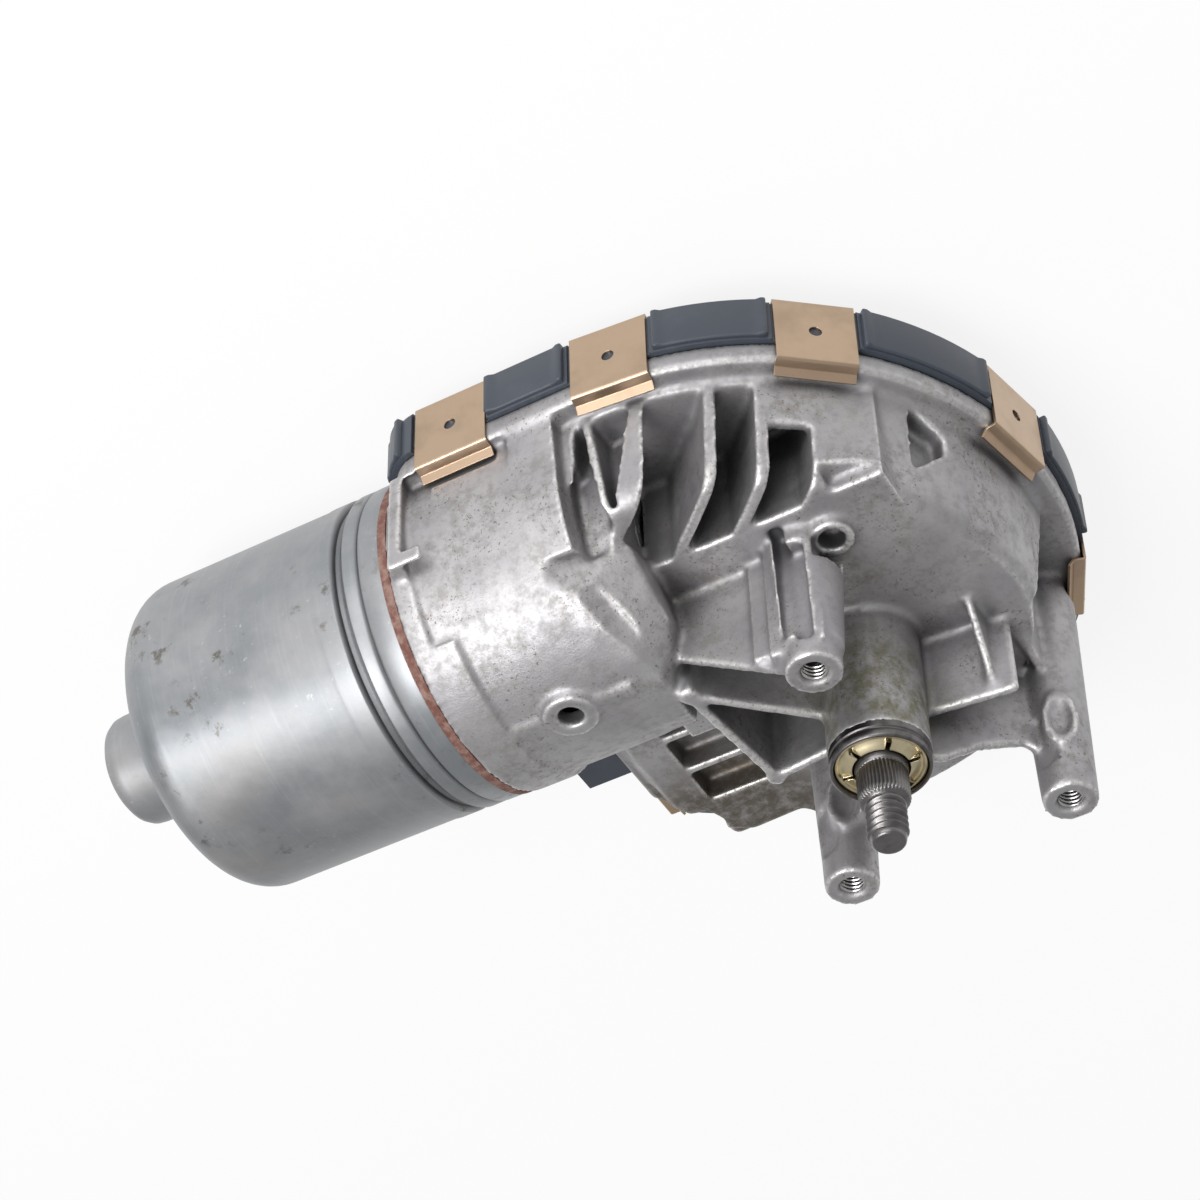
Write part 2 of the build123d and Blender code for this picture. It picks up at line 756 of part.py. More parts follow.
# ================================================================ armature
with BuildPart() as armature_shaft:
    x_cylinder(rear_journal_radius, rear_boss_end + 4.5, can_rear + 6)
    x_cylinder(armature_radius, can_rear + 5, throat_nose + 1)
    x_cylinder(tip_journal_radius, throat_nose, tip_bush_start + tip_bush_length - 0.5)
    x_cylinder(worm_root_radius, -worm_length / 2 - 3, worm_length / 2 + 3)
    turns = worm_length / worm_lead
    worm_start = Plane(origin=(-worm_length / 2, motor_y, motor_z), x_dir=(0, 1, 0), z_dir=(1, 0, 0))
    thread_path = worm_start.from_local_coords(Helix(worm_lead, worm_length, worm_pitch_radius))
    flank = tan(radians(20))
    half_width = worm_lead / 4 - tooth_backlash / 4
    root_half = half_width + (worm_dedendum + 0.2) * flank
    tip_half = half_width - worm_addendum * flank
    with BuildSketch(Plane(origin=thread_path @ 0, x_dir=(0, 1, 0), z_dir=thread_path % 0)) as tooth:
        with BuildLine():
            Polyline(
                (-worm_dedendum - 0.2, -root_half),
                (worm_addendum, -tip_half),
                (worm_addendum, tip_half),
                (-worm_dedendum - 0.2, root_half),
                close=True,
            )
        make_face()
    sweep(tooth.sketch, path=thread_path, is_frenet=True)
keep("armature_shaft", armature_shaft)

with BuildPart() as lamination_core:
    x_ring(armature_radius, core_radius, core_start, core_end)
    with BuildSketch(
        Plane(origin=(core_start, motor_y, motor_z), x_dir=(0, 1, 0), z_dir=(1, 0, 0))
    ) as slots:
        with PolarLocations(core_radius - 1, core_slots):
            Rectangle(6.0, 2.4)
        with PolarLocations(core_radius - 7.5, core_slots):
            Rectangle(9.0, 5.0)
    extrude(slots.sketch, amount=core_end - core_start, mode=Mode.SUBTRACT)
keep("lamination_core", lamination_core)

with BuildPart() as copper_windings:
    with BuildSketch(
        Plane(origin=(core_start, motor_y, motor_z), x_dir=(0, 1, 0), z_dir=(1, 0, 0))
    ) as bars:
        with PolarLocations(core_radius - 7.5, core_slots):
            Rectangle(8.6, 4.6)
    extrude(bars.sketch, amount=core_end - core_start + 1)
    extrude(bars.sketch, amount=-1)
    for start, end in ((core_start - 7, core_start - 0.5), (core_end + 0.5, core_end + 6)):
        with BuildSketch(motor_side) as coil_end:
            with Locations(((start + end) / 2, core_radius - 8.5)):
                RectangleRounded(end - start, 13.0, 2.5)
        revolve(coil_end.sketch, axis=motor_axis)
keep("copper_windings", copper_windings)

with BuildPart() as commutator:
    x_ring(armature_radius, commutator_radius, brush_x - 8, brush_x + 8)
    with BuildSketch(
        Plane(origin=(brush_x - 7, motor_y, motor_z), x_dir=(0, 1, 0), z_dir=(1, 0, 0))
    ) as cuts:
        with PolarLocations(commutator_radius, core_slots):
            Rectangle(2.4, 0.6)
    extrude(cuts.sketch, amount=16, mode=Mode.SUBTRACT)
keep("commutator", commutator)


# ================================================================ output shaft and worm wheel
wheel_bottom = motor_z - wheel_face_width / 2
wheel_top = motor_z + wheel_face_width / 2
knurl_bottom = -knurl_length
washer_seat = -8.2

with BuildPart() as output_shaft:
    z_cylinder(shaft_radius, shaft_bottom, washer_seat)
    z_cylinder(knurl_base_radius, washer_seat - 1, knurl_bottom + 0.5)
    z_cone(knurl_base_radius, knurl_tip_radius, knurl_bottom, 0)
    z_cylinder(thread_radius, -1, thread_length)
    chamfer(output_shaft.edges().filter_by(GeomType.CIRCLE).sort_by(Axis.Z)[-1], 0.7)
keep("output_shaft", output_shaft)

with BuildPart() as wheel_hub:
    z_cylinder(hub_radius, wheel_bottom - 1.5, wheel_top + 1.5)
    z_cylinder(shaft_radius, -100, 0, mode=Mode.SUBTRACT)
keep("wheel_hub", wheel_hub)

lead_angle = atan(worm_lead / (2 * pi * worm_pitch_radius))
wheel_twist = degrees(wheel_face_width * tan(lead_angle) / wheel_pitch_radius)
tooth_angle = 360 / wheel_teeth


def wheel_outline(turn):
    """Corner points of the toothed rim, turned by an angle in degrees."""
    thick_half = worm_lead / 4 - tooth_backlash / 4
    slope = tan(radians(20) - thick_half / wheel_pitch_radius)
    tip_radius = wheel_pitch_radius + worm_addendum
    root_radius = wheel_pitch_radius - worm_dedendum
    tip_half = thick_half - worm_addendum * slope
    foot_half = thick_half + worm_dedendum * slope
    points = []
    for tooth_index in range(wheel_teeth):
        middle = radians(turn + tooth_angle * tooth_index)
        for radius, half in (
            (root_radius, -foot_half),
            (tip_radius, -tip_half),
            (tip_radius, tip_half),
            (root_radius, foot_half),
        ):
            angle = middle + half / radius
            points.append((radius * cos(angle), radius * sin(angle)))
    return points


mesh_shift = -worm_length / 2 % worm_lead
mesh_phase = 90 - degrees(mesh_shift / wheel_pitch_radius)
with BuildPart() as worm_wheel:
    for height, turn in ((wheel_bottom, -wheel_twist / 2), (wheel_top, wheel_twist / 2)):
        with BuildSketch(Plane.XY.offset(height)):
            with BuildLine():
                Polyline(*wheel_outline(mesh_phase + hand * turn), close=True)
            make_face()
    loft(ruled=True)
    for low, high in ((wheel_bottom - 1, wheel_bottom + 2), (wheel_top - 2, wheel_top + 1)):
        with BuildSketch(Plane.XY.offset(low)) as dish:
            Circle(wheel_pitch_radius - 4.5)
            Circle(hub_radius + 2.5, mode=Mode.SUBTRACT)
        extrude(dish.sketch, amount=high - low, mode=Mode.SUBTRACT)
    z_cylinder(hub_radius, -100, 0, mode=Mode.SUBTRACT)
keep("worm_wheel", worm_wheel)

with BuildPart() as sensor_magnet:
    z_cylinder(5.0, shaft_bottom - 2.5, shaft_bottom)
keep("sensor_magnet", sensor_magnet)

with BuildPart() as shim_washer:
    z_cylinder(10.0, wheel_top + 1.5, wheel_top + 2.5)
    z_cylinder(shaft_radius, -100, 0, mode=Mode.SUBTRACT)
keep("shim_washer", shim_washer)

with BuildPart() as lock_washer:
    z_cylinder(8.9, washer_seat + 0.1, washer_seat + 0.9)
    z_cylinder(knurl_base_radius, -100, 0, mode=Mode.SUBTRACT)
    with BuildSketch(Plane.XY.offset(washer_seat)) as notches:
        with PolarLocations(6.4, 8):
            Rectangle(2.6, 1.3)
    extrude(notches.sketch, amount=2, mode=Mode.SUBTRACT)
keep("lock_washer", lock_washer)

with BuildPart() as output_bushes:
    z_cylinder(bush_radius, roof_top - roof_wall, roof_top + 6)
    z_cylinder(bush_radius, boss_top - 15, boss_top - 4)
    z_cylinder(shaft_radius + running_gap, -100, 0, mode=Mode.SUBTRACT)
keep("output_bushes", output_bushes)

with BuildPart() as shaft_seal:
    z_cylinder(bush_radius, boss_top - 3.5, boss_top)
    z_cylinder(shaft_radius + running_gap, -100, 0, mode=Mode.SUBTRACT)
keep("shaft_seal", shaft_seal)

with BuildPart() as seal_cap:
    z_cylinder(boss_radius, boss_top, -4.0)
    z_cylinder(9.2, boss_top + 1.2, 0, mode=Mode.SUBTRACT)
    z_cylinder(6.6, -100, 0, mode=Mode.SUBTRACT)
keep("seal_cap", seal_cap)
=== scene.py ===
import json
from math import cos, pi, radians, sin, sqrt

import bmesh
import bpy
import numpy as np
from mathutils import Matrix, Vector
from mathutils.bvhtree import BVHTree


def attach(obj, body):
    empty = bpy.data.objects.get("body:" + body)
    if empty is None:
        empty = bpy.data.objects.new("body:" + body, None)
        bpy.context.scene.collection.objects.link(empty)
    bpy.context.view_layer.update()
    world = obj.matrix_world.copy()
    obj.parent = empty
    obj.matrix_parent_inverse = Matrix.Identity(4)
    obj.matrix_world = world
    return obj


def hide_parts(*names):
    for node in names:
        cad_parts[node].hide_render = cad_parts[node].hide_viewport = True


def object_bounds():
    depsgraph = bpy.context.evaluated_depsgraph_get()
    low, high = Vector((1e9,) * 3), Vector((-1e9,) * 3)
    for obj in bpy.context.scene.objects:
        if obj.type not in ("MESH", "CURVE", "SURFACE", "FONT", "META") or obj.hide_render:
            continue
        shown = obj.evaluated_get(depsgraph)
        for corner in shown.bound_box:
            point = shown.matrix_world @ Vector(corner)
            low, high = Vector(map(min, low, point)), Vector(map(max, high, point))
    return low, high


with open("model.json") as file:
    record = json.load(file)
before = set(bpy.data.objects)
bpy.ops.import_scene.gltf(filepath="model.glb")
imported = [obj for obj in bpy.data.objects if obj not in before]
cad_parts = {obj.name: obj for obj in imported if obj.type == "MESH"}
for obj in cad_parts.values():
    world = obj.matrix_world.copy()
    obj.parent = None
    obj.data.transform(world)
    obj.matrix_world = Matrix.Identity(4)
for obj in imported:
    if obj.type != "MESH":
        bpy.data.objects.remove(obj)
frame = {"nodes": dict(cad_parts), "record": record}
cad_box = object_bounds()
scene = bpy.context.scene
nodes = frame["nodes"]
MM = 0.001

# ------------------------------------------------------------------ sizes, in mm and degrees
# housing
flange_bottom = -71.5
boss_end_radius = 11.0
casting_voxel = 0.6 * MM
wheel_wall_low = -66.4
wheel_wall_inside = 34.7
wheel_wall_foot = 37.4
wheel_wall_top = 35.6
wheel_roof_low = -44.4
wheel_roof_high = -40.7
screw_boss = (8.0, 33.2)
screw_boss_radius = 4.9
screw_boss_top = -38.0
screw_bore_radius = 2.9
old_boss = (6.4, 29.3)
slot_back = ((-0.6, 32.2), (3.4, 32.2), (3.4, 34.6), (-0.6, 34.6))
flange_corner = [
    (-95.0, -40.0),
    (-78.8, -53.2),
    (-74.4, -61.6),
    (-70.0, -62.8),
    (-68.2, -67.4),
    (-69.6, -71.6),
    (-68.2, -74.0),
    (-50.8, -73.1),
    (-48.6, -75.5),
    (-46.0, -95.0),
    (-95.0, -95.0),
]

# posts, with the length of thread in each and the marks of the gates
post_a = (-23.1, -33.4)
post_b = (28.8, -31.8)
post_c = (0.4, 31.0)
post_top = -6.0
post_thread_outer = 2.95
post_thread_depth = 0.4
post_thread_pitch = 1.0
post_threads = {
    "post_a_thread": (*post_a, 17.0),
    "post_b_thread": (*post_b, 15.5),
    "post_c_thread": (*post_c, 4.0),
}
gate_marks = ((post_b, -24.0), (post_a, -25.0))
gate_angle = 68
gate_half_width = 3.9
gate_half_height = 7.6

# output shaft and its washer
thread_pitch = 1.75
thread_depth = 0.8
thread_crest = 4.35
thread_start = 6.0
thread_end = 14.2
shaft_tip = 16.0
knurl_ridges = 40
knurl_low = -2.6
knurl_high = 4.9
knurl_crest = 5.5
knurl_depth = 0.32
washer_tabs = 6
washer_slot_share = 0.075
washer_slot_end = 8.4

# motor can, which lies along x
can_axis_y = 33.0
can_axis_z = -54.7
can_radius = 36.65
can_wall = 2.0
can_rear = -149.5
can_mouth = -79.2
can_shoulder = 9.0
flank_radius = 35.9

# cover and clips: the pads' spans are angles round the disc's centre
cover_centre = (-28.5, -2.0)
pad_spans = (
    (120.6, 126.5),
    (92.8, 106.6),
    (58.8, 77.2),
    (19.4, 43.2),
    (-17.2, 3.6),
    (-53.2, -32.8),
    (-89.2, -68.8),
)
pad_low = -83.0
pad_high = -71.7
pad_proud = 0.75
pad_sunk = 0.8
pad_lip = 0.5
pad_round = 0.45
clip_hook_low = -72.0
left_clip_x = -70.0
left_clip_y = (-62.0, -40.0)
left_clip_shift = 2.0
left_hook_drop = 3.6


# ------------------------------------------------------------------ node helpers
class Shader:
    """A material's node tree, with short calls for the nodes this scene uses."""

    def __init__(self, name):
        self.material = bpy.data.materials.new(name)
        self.material.use_nodes = True
        self.tree = self.material.node_tree
        self.bsdf = self.tree.nodes["Principled BSDF"]
        self.place = self.node("ShaderNodeTexCoord").outputs["Object"]

    def node(self, kind, **settings):
        made = self.tree.nodes.new(kind)
        for key, value in settings.items():
            setattr(made, key, value)
        return made

    def link(self, source, target):
        self.tree.links.new(source, target)

    def put(self, socket, value):
        if hasattr(value, "is_output"):
            self.link(value, socket)
        else:
            socket.default_value = value

    def stretch(self, scale):
        mapping = self.node("ShaderNodeMapping")
        self.link(self.place, mapping.inputs["Vector"])
        mapping.inputs["Scale"].default_value = scale
        return mapping.outputs["Vector"]

    def noise(self, size_mm, detail=4.0, roughness=0.55, vector=None):
        made = self.node("ShaderNodeTexNoise")
        self.link(vector or self.place, made.inputs["Vector"])
        made.inputs["Scale"].default_value = 1000.0 / size_mm
        made.inputs["Detail"].default_value = detail
        made.inputs["Roughness"].default_value = roughness
        return made.outputs["Fac"]

    def ramp(self, value, low, high, start=0.0, end=1.0):
        made = self.node("ShaderNodeMapRange", interpolation_type="SMOOTHSTEP")
        self.link(value, made.inputs["Value"])
        made.inputs["From Min"].default_value = low
        made.inputs["From Max"].default_value = high
        made.inputs["To Min"].default_value = start
        made.inputs["To Max"].default_value = end
        return made.outputs["Result"]

    def math(self, operation, a, b=0.0):
        made = self.node("ShaderNodeMath", operation=operation)
        self.put(made.inputs[0], a)
        self.put(made.inputs[1], b)
        return made.outputs["Value"]

    def times(self, a, b):
        return self.math("MULTIPLY", a, b)

    def blend(self, factor, a, b):
        made = self.node("ShaderNodeMix", data_type="RGBA")
        self.put(made.inputs["Factor"], factor)
        for socket, value in ((made.inputs[6], a), (made.inputs[7], b)):
            self.put(socket, value if hasattr(value, "is_output") else (*value, 1.0))
        return made.outputs[2]

    def bump(self, height, distance_mm, strength=1.0, normal=None):
        made = self.node("ShaderNodeBump")
        self.link(height, made.inputs["Height"])
        made.inputs["Distance"].default_value = distance_mm * MM
        made.inputs["Strength"].default_value = strength
        if normal:
            self.link(normal, made.inputs["Normal"])
        return made.outputs["Normal"]

    def soft_edges(self, radius_mm):
        made = self.node("ShaderNodeBevel", samples=4)
        made.inputs["Radius"].default_value = radius_mm * MM
        return made.outputs["Normal"]

    def near(self, centre, inner_mm, outer_mm):
        """1 round a point of the object, and 0 beyond the outer distance."""
        made = self.node("ShaderNodeVectorMath", operation="DISTANCE")
        self.link(self.place, made.inputs[0])
        made.inputs[1].default_value = [value * MM for value in centre]
        return self.ramp(made.outputs["Value"], inner_mm * MM, outer_mm * MM, 1.0, 0.0)

    def hollow(self, reach_mm):
        """How open the surface is to the room around it: 1 on a free face, towards 0 in a pocket."""
        made = self.node("ShaderNodeAmbientOcclusion", samples=6)
        made.inputs["Distance"].default_value = reach_mm * MM
        return made.outputs["AO"]

    def sharpness(self):
        """About 0.5 on a flat face and more on a ridge of a finely meshed surface."""
        return self.node("ShaderNodeNewGeometry").outputs["Pointiness"]

    def finish(self, color, roughness, metallic=0.0, normal=None):
        self.put(self.bsdf.inputs["Base Color"], color if hasattr(color, "is_output") else (*color, 1.0))
        self.put(self.bsdf.inputs["Roughness"], roughness)
        self.put(self.bsdf.inputs["Metallic"], metallic)
        if normal:
            self.link(normal, self.bsdf.inputs["Normal"])
        return self.material


# ------------------------------------------------------------------ materials
def cast_aluminium():
    """Blasted die-cast aluminium: edges lightened for wear and as a painted highlight, painted shade in its
    hollows, and brown soil in its creases over painted crease shade.
    """
    s = Shader("cast_aluminium")
    cloud = s.noise(26, 5, 0.6)
    mottle = s.noise(2.6, 6, 0.68)
    grain = s.noise(0.5, 4, 0.65)
    # painted shade: the colour darkens towards the bottom of the hollows, by how closed in each point is
    shadow = s.ramp(s.hollow(11), 0.25, 0.85, 0.78, 0.0)
    # painted shade in narrow creases, which also carries the brown soil film
    crease_shade = s.ramp(s.hollow(2.5), 0.35, 0.8, 1.0, 0.0)
    film = s.times(s.ramp(mottle, 0.42, 0.6), s.ramp(s.noise(16, 4, 0.6), 0.42, 0.62))
    pits = s.times(s.ramp(s.noise(0.8, 3, 0.7), 0.58, 0.66), s.ramp(s.noise(15, 4, 0.6), 0.46, 0.58))
    oil = s.times(s.near((3, 4, -18), 8, 22), s.ramp(s.noise(5, 5, 0.7), 0.38, 0.62))
    soil = s.times(s.near((-60, -62, -70), 18, 38), s.ramp(s.noise(3.5, 6, 0.7), 0.3, 0.6, 0.35, 1.0))
    # worn bright metal on the ridges, made strong as a painted highlight along them
    edge = s.times(s.ramp(s.sharpness(), 0.507, 0.55), s.ramp(s.noise(1.1, 5, 0.7), 0.34, 0.54))
    tone = s.blend(s.ramp(cloud, 0.32, 0.68), (0.37, 0.36, 0.375), (0.47, 0.46, 0.465))
    tone = s.blend(s.ramp(mottle, 0.45, 0.7, 0.0, 0.45), tone, (0.30, 0.29, 0.285))
    # painted shade in the hollows
    tone = s.blend(shadow, tone, (0.10, 0.097, 0.105))
    # brown soil film, faint everywhere and laid on fully in creases as painted shade
    tone = s.blend(s.times(s.math("MAXIMUM", crease_shade, 0.22), film), tone, (0.17, 0.15, 0.11))
    tone = s.blend(s.times(pits, 0.75), tone, (0.13, 0.105, 0.08))
    tone = s.blend(s.times(oil, 0.75), tone, (0.17, 0.165, 0.085))
    tone = s.blend(s.times(soil, 0.9), tone, (0.12, 0.10, 0.075))
    # ridges lightened: worn metal and painted highlight
    tone = s.blend(s.times(edge, 0.85), tone, (0.80, 0.785, 0.77))
    rough = s.math("SUBTRACT", s.ramp(mottle, 0.3, 0.7, 0.46, 0.62), s.times(edge, 0.16))
    normal = s.bump(grain, 0.1, 0.6, s.soft_edges(0.4))
    normal = s.bump(mottle, 0.22, 0.4, normal)
    normal = s.bump(pits, 0.08, -0.7, normal)
    return s.finish(tone, rough, 0.85, normal)


def zinc_can():
    """Zinc-plated deep-drawn steel: satin and cloudy, with fine turned lines and brown stains."""
    s = Shader("zinc_steel")
    turned = s.noise(0.8, 3, 0.6, s.stretch((1.0, 0.04, 0.04)))
    cloud = s.noise(22, 5, 0.62)
    stain = s.times(s.ramp(s.noise(5, 5, 0.7), 0.56, 0.68), s.ramp(s.noise(30, 2), 0.5, 0.62))
    scuff = s.times(s.ramp(s.noise(1.5, 4, 0.7), 0.62, 0.7), s.ramp(s.noise(15, 3), 0.48, 0.6))
    shadow = s.ramp(s.hollow(4), 0.45, 0.9, 0.9, 0.0)
    tone = s.blend(s.ramp(cloud, 0.3, 0.7), (0.27, 0.285, 0.30), (0.38, 0.38, 0.39))
    tone = s.blend(s.ramp(s.noise(9, 5, 0.65), 0.45, 0.75, 0.0, 0.4), tone, (0.25, 0.265, 0.275))
    tone = s.blend(s.ramp(s.noise(42, 3), 0.5, 0.7, 0.0, 0.5), tone, (0.36, 0.335, 0.315))
    tone = s.blend(s.ramp(turned, 0.5, 0.8, 0.0, 0.18), tone, (0.5, 0.5, 0.5))
    tone = s.blend(s.times(stain, 0.75), tone, (0.11, 0.095, 0.07))
    tone = s.blend(s.times(scuff, 0.5), tone, (0.60, 0.60, 0.59))
    tone = s.blend(shadow, tone, (0.05, 0.05, 0.055))
    rough = s.ramp(cloud, 0.3, 0.7, 0.40, 0.52)
    normal = s.bump(s.noise(0.5, 3), 0.02, 0.5, s.soft_edges(0.4))
    normal = s.bump(s.noise(14, 3), 0.5, 0.2, normal)
    return s.finish(tone, rough, 0.8, normal)


def moulded(name, tone, rough=0.42, edge=0.4):
    """Moulded plastic with a faint erosion grain."""
    s = Shader(name)
    grain = s.noise(0.4, 3)
    dust = s.ramp(s.noise(12, 5, 0.6), 0.5, 0.8, 0.0, 0.25)
    color = s.blend(dust, tone, [min(1.0, c * 1.8 + 0.02) for c in tone])
    return s.finish(color, rough, 0.0, s.bump(grain, 0.02, 0.5, s.soft_edges(edge)))


def metal(name, tone, rough, dark=0.6, size_mm=4.0, edge=0.15):
    """Bare or plated metal with slightly uneven tone."""
    s = Shader(name)
    cloud = s.noise(size_mm, 5, 0.6)
    color = s.blend(s.ramp(cloud, 0.4, 0.75), tone, [c * dark for c in tone])
    roughness = s.ramp(cloud, 0.3, 0.7, rough * 0.85, rough * 1.15)
    return s.finish(color, roughness, 1.0, s.bump(s.noise(0.3, 3), 0.01, 0.4, s.soft_edges(edge)))


def rust():
    s = Shader("rusty_ring")
    patch = s.noise(2.5, 6, 0.7)
    color = s.blend(s.ramp(patch, 0.4, 0.66), (0.15, 0.06, 0.045), (0.27, 0.17, 0.14))
    return s.finish(color, 0.8, 0.1, s.bump(patch, 0.2, 0.6))


materials = {
    "cast_aluminium": cast_aluminium(),
    "cover_plastic": moulded("cover_plastic", (0.042, 0.05, 0.066), 0.4),
    "seal_rubber": moulded("seal_rubber", (0.02, 0.02, 0.02), 0.6, 0.2),
    "clip_bronze": metal("clip_bronze", (0.53, 0.39, 0.275), 0.34, 0.82, 12.0, 0.25),
    "pin_brass": metal("pin_brass", (0.72, 0.58, 0.30), 0.3),
    "board_laminate": moulded("board_laminate", (0.03, 0.16, 0.06), 0.3),
    "black_plastic": moulded("black_plastic", (0.02, 0.02, 0.025), 0.45),
    "zinc_steel": zinc_can(),
    "rusty_ring": rust(),
    "ferrite": moulded("ferrite", (0.05, 0.05, 0.055), 0.5),
    "sintered_bronze": metal("sintered_bronze", (0.45, 0.30, 0.15), 0.5),
    "bright_steel": metal("bright_steel", (0.6, 0.6, 0.6), 0.3),
    "carbon": moulded("carbon", (0.03, 0.03, 0.03), 0.55),
    "core_steel": metal("core_steel", (0.3, 0.3, 0.32), 0.45),
    "copper": metal("copper", (0.75, 0.36, 0.2), 0.3),
    "shaft_steel": metal("shaft_steel", (0.20, 0.19, 0.19), 0.34, 0.6),
    "gear_plastic": moulded("gear_plastic", (0.75, 0.72, 0.62), 0.4),
    "gold_zinc": metal("gold_zinc", (0.72, 0.63, 0.42), 0.34, 0.6, 5.0),
    "bright_cut": metal("bright_cut", (0.62, 0.61, 0.6), 0.3),
    "burnished_cap": metal("burnished_cap", (0.17, 0.16, 0.16), 0.32, 0.5, 3.0),
}


def dress(piece, slot):
    """Give a mesh its one material."""
    piece.data.materials.clear()
    piece.data.materials.append(materials[slot])


for entry in frame["record"]["subparts"]:
    dress(nodes[entry["node"]], entry["material_slot"])


# ------------------------------------------------------------------ modelled pieces
def new_piece(name, mesh, slot, body, *replaced):
    """Add a mesh as a finished piece of the object."""
    piece = bpy.data.objects.new(name, mesh)
    scene.collection.objects.link(piece)
    dress(piece, slot)
    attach(piece, body)
    if replaced:
        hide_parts(*replaced)
    return piece


def settle(piece):
    """Replace a piece's mesh by what its modifiers make of it."""
    graph = bpy.context.evaluated_depsgraph_get()
    mesh = bpy.data.meshes.new_from_object(piece.evaluated_get(graph))
    piece.modifiers.clear()
    piece.data = mesh
    return mesh


def shade(mesh, angle=None):
    """Smooth shading, kept sharp where faces turn by more than the angle in degrees."""
    mesh.shade_smooth()
    if angle:
        mesh.set_sharp_from_angle(angle=radians(angle))


def turned_mesh(name, rows, columns, close_ends=True):
    """A closed surface of rings: rows holds a function of the turn angle to radius, and a height, in mm."""
    turns = np.arange(columns) * 2 * pi / columns
    points = []
    for height, radius in rows:
        ring = radius(turns) if callable(radius) else np.full(columns, float(radius))
        points.append(np.stack([ring * np.cos(turns), ring * np.sin(turns), np.full(columns, height)], 1))
    points = np.concatenate(points) * MM
    here = np.arange(columns)
    beside = (here + 1) % columns
    faces = []
    for row in range(len(rows) - 1):
        low = row * columns
        high = low + columns
        faces += np.stack([low + here, low + beside, high + beside, high + here], 1).tolist()
    if close_ends:
        faces.append(here[::-1].tolist())
        faces.append((here + (len(rows) - 1) * columns).tolist())
    mesh = bpy.data.meshes.new(name)
    mesh.from_pydata(points.tolist(), [], faces)
    return mesh


def weld(mesh):
    """Join the seam of a ring of rows and turn its faces outwards."""
    work = bmesh.new()
    work.from_mesh(mesh)
    bmesh.ops.remove_doubles(work, verts=work.verts, dist=1e-6)
    bmesh.ops.recalc_face_normals(work, faces=work.faces)
    work.to_mesh(mesh)
    work.free()


# ------------------------------------------------------------------ output shaft, washer and seal
def thread_radius(height, outer, depth, pitch):
    """Radius of a rounded vee thread at one height, over all turn angles."""

    def radius(turns):
        phase = np.mod(height / pitch - turns / (2 * pi), 1.0)
        wave = np.clip(np.abs(2 * phase - 1) * 1.35 - 0.15, 0.0, 1.0)
        return outer - depth * wave

    return radius


def knurl_radius(outer):
    """Radius of a straight knurl, over all turn angles."""

    def radius(turns):
        return outer - knurl_depth * (0.5 - 0.5 * np.cos(turns * knurl_ridges)) ** 1.5

    return radius


def shaft_end():
    """The output shaft: journal, collar, straight knurl, neck, end thread and a plain tip."""
    rows = [(-66.0, 5.7), (-65.7, 6.0), (-8.3, 6.0), (-8.2, 5.8), (-3.4, 5.62), (-3.0, 5.4)]
    rows.append((knurl_low - 0.1, 5.3))
    steps = 12
    for step in range(steps + 1):
        height = knurl_low + (knurl_high - knurl_low) * step / steps
        end_chamfer = 0.3 if step in (0, steps) else 0.0
        rows.append((height, knurl_radius(knurl_crest - end_chamfer)))
    rows += [(knurl_high + 0.25, 4.75), (knurl_high + 0.5, 4.2), (thread_start - 0.4, 4.0)]
    steps = int((thread_end - thread_start) / 0.12)
    for step in range(steps + 1):
        height = thread_start + (thread_end - thread_start) * step / steps
        run_in = min(1.0, step / 8)
        rows.append((height, thread_radius(height, thread_crest, thread_depth * run_in, thread_pitch)))
    rows += [(14.5, 3.75), (14.9, 3.7), (15.5, 3.55), (15.85, 3.3)]
    rows += [(shaft_tip, 2.95), (shaft_tip - 0.06, 2.5)]
    mesh = turned_mesh("shaft_end", rows, knurl_ridges * 6)
    shade(mesh, 50)
    return new_piece("shaft_end", mesh, "shaft_steel", "output", "output_shaft")


def star_washer():
    """Dished lock washer: a rolled rim, and tabs that rise towards the shaft between slots."""

    def tab_edge(inner):
        def radius(turns):
            phase = np.abs(np.mod(turns * washer_tabs / (2 * pi) + 0.62, 1.0) - 0.5)
            return np.where(phase < washer_slot_share, washer_slot_end, inner)

        return radius

    rim = [(-6.2, 9.75), (-5.2, 9.75), (-4.85, 9.55), (-4.75, 9.2), (-4.95, 8.9), (-5.3, 8.7)]
    rim.append((-5.35, washer_slot_end))
    upper = ((-5.2, 8.1), (-4.75, 7.3), (-4.2, 6.5), (-4.05, 6.1))
    lower = ((-4.35, 6.1), (-5.2, 7.3), (-5.9, 8.2))
    tabs = [(height, tab_edge(inner)) for height, inner in upper + lower]
    mesh = turned_mesh("star_washer", [*rim, *tabs, (-6.1, 8.8), rim[0]], 360, close_ends=False)
    weld(mesh)
    shade(mesh, 40)
    return new_piece("star_washer", mesh, "gold_zinc", "output", "lock_washer")


def seal_ring():
    """The thin-walled cap round the washer, with a groove round its side."""
    rows = [(-9.4, 9.8), (-9.4, 10.7), (-9.2, 10.88), (-6.7, 10.88), (-6.5, 10.6), (-6.2, 10.55)]
    rows += [(-6.0, 10.8), (-5.9, 10.85), (-4.35, 10.78), (-4.1, 10.6), (-4.0, 10.4), (-4.05, 10.12)]
    rows += [(-4.3, 9.98), (-6.3, 9.8), rows[0]]
    mesh = turned_mesh("seal_ring", rows, 160, close_ends=False)
    weld(mesh)
    shade(mesh, 35)
    piece = new_piece("seal_ring", mesh, "seal_rubber", "housing", "seal_cap")
    dress(piece, "burnished_cap")
    return piece


